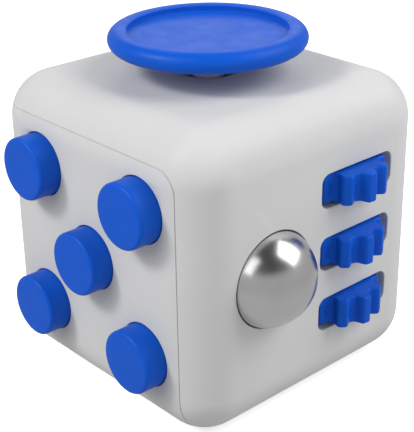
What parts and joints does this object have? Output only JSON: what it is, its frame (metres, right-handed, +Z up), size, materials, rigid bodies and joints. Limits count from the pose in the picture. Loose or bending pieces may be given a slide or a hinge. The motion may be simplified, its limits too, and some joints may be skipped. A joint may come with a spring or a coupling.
{
  "type": "fidget cube",
  "caption": "Pocket desk toy: a rounded plastic cube with push buttons, toothed wheels, a rolling ball, a tilting disc, a rocker, a spinning dial and a thumb dish on its faces.",
  "frame": {"origin": "middle of the bottom face, on the surface the cube rests on; the cube is centred on it in X and Y", "axes": "+Z up through the tilting disc; -X is the button face, -Y the ball and wheel face, +X the rocker face, +Y the dial face"},
  "size_m": [0.038, 0.0408, 0.0377],
  "materials": {
    "shell_plastic": "light warm grey ABS, fine satin moulded texture",
    "blue_plastic": "saturated royal blue ABS, soft satin",
    "white_plastic": "natural white acetal, satin",
    "black_plastic": "black nylon, matt",
    "polished_steel": "polished bearing steel",
    "spring_steel": "bright drawn spring steel",
    "screw_steel": "zinc plated steel",
    "circuit_board": "green solder resist over fibreglass",
    "silicone": "translucent grey silicone rubber, matt"
  },
  "bodies": {
    "housing": {"front_shell": "shell_plastic", "rear_shell": "shell_plastic", "click_board": "circuit_board", "board_screw_1": "screw_steel", "board_screw_2": "screw_steel", "board_screw_3": "screw_steel", "click_switch_1": "black_plastic", "click_switch_2": "black_plastic", "click_switch_3": "black_plastic", "silicone_dome_1": "silicone", "silicone_dome_2": "silicone", "gear_axle": "polished_steel", "roll_bracket": "white_plastic", "bracket_screw_1": "screw_steel", "bracket_screw_2": "screw_steel", "bracket_screw_3": "screw_steel", "ball_switch": "black_plastic", "joystick_bracket": "white_plastic", "joystick_spring": "spring_steel", "joystick_screw_1": "screw_steel", "joystick_screw_2": "screw_steel", "rocker_pin": "polished_steel", "rocker_leaf_spring": "spring_steel"},
    "button_1": {"button_1": "blue_plastic", "switch_plunger_1": "white_plastic"},
    "button_2": {"button_2": "blue_plastic", "switch_plunger_2": "white_plastic"},
    "button_3": {"button_3": "blue_plastic", "switch_plunger_3": "white_plastic"},
    "button_4": {"button_4": "blue_plastic"},
    "button_5": {"button_5": "blue_plastic"},
    "gear_1": {"gear_1": "blue_plastic"},
    "gear_2": {"gear_2": "blue_plastic"},
    "gear_3": {"gear_3": "blue_plastic"},
    "ball_cup": {"ball_cup": "black_plastic", "ball_switch_plunger": "white_plastic"},
    "ball_seat_ring": {"ball_seat_ring": "white_plastic"},
    "roller_ball": {"roller_ball": "polished_steel"},
    "gimbal_ring": {"gimbal_ring": "white_plastic"},
    "joystick": {"joystick_cap": "blue_plastic", "joystick_stem": "shell_plastic"},
    "rocker": {"rocker": "blue_plastic"},
    "dial": {"dial": "blue_plastic", "dial_washer": "screw_steel", "dial_screw": "screw_steel"}
  },
  "joints": [
    {"name": "button_1_press", "type": "slide", "parent": "housing", "child": "button_1", "axis": [1, 0, 0], "range_m": [0, 0.0006], "stiffness_N_per_m": 1200, "springref_m": -0.0008},
    {"name": "button_2_press", "type": "slide", "parent": "housing", "child": "button_2", "axis": [1, 0, 0], "range_m": [0, 0.0006], "stiffness_N_per_m": 1200, "springref_m": -0.0008},
    {"name": "button_3_press", "type": "slide", "parent": "housing", "child": "button_3", "axis": [1, 0, 0], "range_m": [0, 0.0006], "stiffness_N_per_m": 1200, "springref_m": -0.0008},
    {"name": "button_4_press", "type": "slide", "parent": "housing", "child": "button_4", "axis": [1, 0, 0], "range_m": [0, 0.0012], "stiffness_N_per_m": 500, "springref_m": -0.001, "deforming": ["silicone_dome_1"]},
    {"name": "button_5_press", "type": "slide", "parent": "housing", "child": "button_5", "axis": [1, 0, 0], "range_m": [0, 0.0012], "stiffness_N_per_m": 500, "springref_m": -0.001, "deforming": ["silicone_dome_2"]},
    {"name": "gear_1_spin", "type": "hinge", "parent": "housing", "child": "gear_1", "pos_m": [0.00536, -0.0145, 0.02385], "axis": [0, 0, 1], "continuous": true},
    {"name": "gear_2_spin", "type": "hinge", "parent": "housing", "child": "gear_2", "pos_m": [0.00536, -0.0145, 0.0168], "axis": [0, 0, 1], "continuous": true},
    {"name": "gear_3_spin", "type": "hinge", "parent": "housing", "child": "gear_3", "pos_m": [0.00536, -0.0145, 0.00975], "axis": [0, 0, 1], "continuous": true},
    {"name": "ball_press", "type": "slide", "parent": "housing", "child": "ball_cup", "axis": [0, 1, 0], "range_m": [0, 0.0006], "stiffness_N_per_m": 1500, "springref_m": -0.0008},
    {"name": "ball_twirl", "type": "hinge", "parent": "ball_cup", "child": "ball_seat_ring", "pos_m": [-0.00648, -0.01518, 0.01659], "axis": [0, 1, 0], "continuous": true},
    {"name": "ball_roll", "type": "hinge", "parent": "ball_seat_ring", "child": "roller_ball", "pos_m": [-0.00648, -0.01518, 0.01659], "axis": [1, 0, 0], "continuous": true},
    {"name": "joystick_tilt_y", "type": "hinge", "parent": "housing", "child": "gimbal_ring", "pos_m": [0, 0, 0.0282], "axis": [0, 1, 0], "range_deg": [-8.5, 8.5], "stiffness_Nm_per_rad": 0.05},
    {"name": "joystick_tilt_x", "type": "hinge", "parent": "gimbal_ring", "child": "joystick", "pos_m": [0, 0, 0.0282], "axis": [1, 0, 0], "range_deg": [-8.5, 8.5], "stiffness_Nm_per_rad": 0.05, "deforming": ["joystick_spring"]},
    {"name": "rocker_flip", "type": "hinge", "parent": "housing", "child": "rocker", "pos_m": [0.014, 0, 0.0165], "axis": [0, -1, 0], "range_deg": [0, 20]},
    {"name": "dial_spin", "type": "hinge", "parent": "housing", "child": "dial", "pos_m": [0, 0.0165, 0.0165], "axis": [0, 1, 0], "continuous": true}
  ]
}
